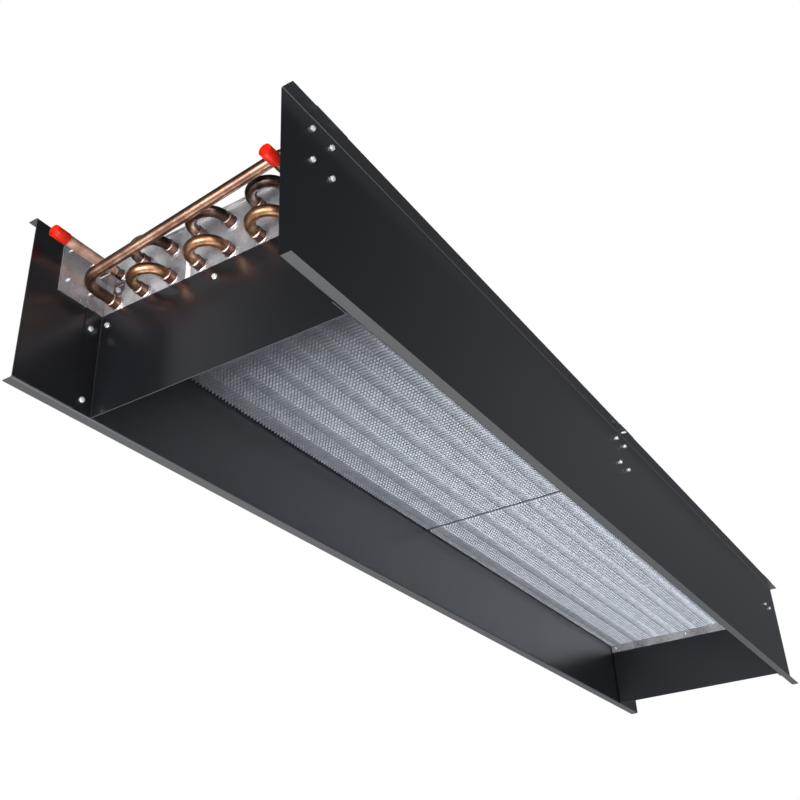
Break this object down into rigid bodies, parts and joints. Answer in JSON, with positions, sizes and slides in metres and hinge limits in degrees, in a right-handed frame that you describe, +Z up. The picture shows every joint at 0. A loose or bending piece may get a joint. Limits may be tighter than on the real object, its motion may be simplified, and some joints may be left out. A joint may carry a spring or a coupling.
{
  "type": "chilled beam",
  "caption": "Passive chilled beam: open black sheet casing with a finned copper coil, return bends, crossover pipe and two capped water connections.",
  "frame": {"origin": "middle of the footprint, on the underside of the two bottom flanges", "axes": "+X along the beam away from the pipe end, +Y to the side with the supply pipe, +Z up"},
  "size_m": [2, 0.422, 0.2415],
  "materials": {
    "coated_sheet": "semi-gloss black coating",
    "galvanised_sheet": "bright galvanised sheet",
    "fin_aluminium": "plain mill finish",
    "copper_tube": "drawn copper, bright with some tarnish",
    "cap_plastic": "soft red plastic",
    "plated_screws": "zinc plated"
  },
  "bodies": {
    "beam": {"side_panel_left": "coated_sheet", "side_panel_right": "coated_sheet", "end_panel_front": "coated_sheet", "end_panel_rear": "coated_sheet", "tube_sheet_front": "galvanised_sheet", "tube_sheet_rear": "galvanised_sheet", "pipe_bracket": "galvanised_sheet", "hanger_front_left": "galvanised_sheet", "hanger_front_right": "galvanised_sheet", "hanger_middle_left": "galvanised_sheet", "hanger_middle_right": "galvanised_sheet", "hanger_rear_left": "galvanised_sheet", "hanger_rear_right": "galvanised_sheet", "fins_front": "fin_aluminium", "fins_rear": "fin_aluminium", "hairpin_lower_1": "copper_tube", "hairpin_lower_2": "copper_tube", "hairpin_lower_3": "copper_tube", "hairpin_lower_4": "copper_tube", "hairpin_upper_1": "copper_tube", "hairpin_upper_2": "copper_tube", "hairpin_upper_3": "copper_tube", "hairpin_upper_4": "copper_tube", "return_bend_lower_1": "copper_tube", "return_bend_lower_2": "copper_tube", "return_bend_lower_3": "copper_tube", "return_bend_upper_1": "copper_tube", "return_bend_upper_2": "copper_tube", "return_bend_upper_3": "copper_tube", "crossover_pipe": "copper_tube", "supply_pipe": "copper_tube", "return_pipe": "copper_tube", "bracket_screw": "plated_screws", "hanger_screws_left": "plated_screws", "hanger_screws_right": "plated_screws", "end_panel_screws_left": "plated_screws", "end_panel_screws_right": "plated_screws", "tube_sheet_screws_front": "plated_screws", "tube_sheet_screws_rear": "plated_screws"},
    "supply_cap_body": {"supply_cap": "cap_plastic"},
    "return_cap_body": {"return_cap": "cap_plastic"}
  },
  "joints": [
    {"name": "supply_cap_pull", "type": "slide", "parent": "beam", "child": "supply_cap_body", "axis": [-1, 0, 0], "range_m": [0, 0.03]},
    {"name": "return_cap_pull", "type": "slide", "parent": "beam", "child": "return_cap_body", "axis": [-1, 0, 0], "range_m": [0, 0.03]}
  ]
}
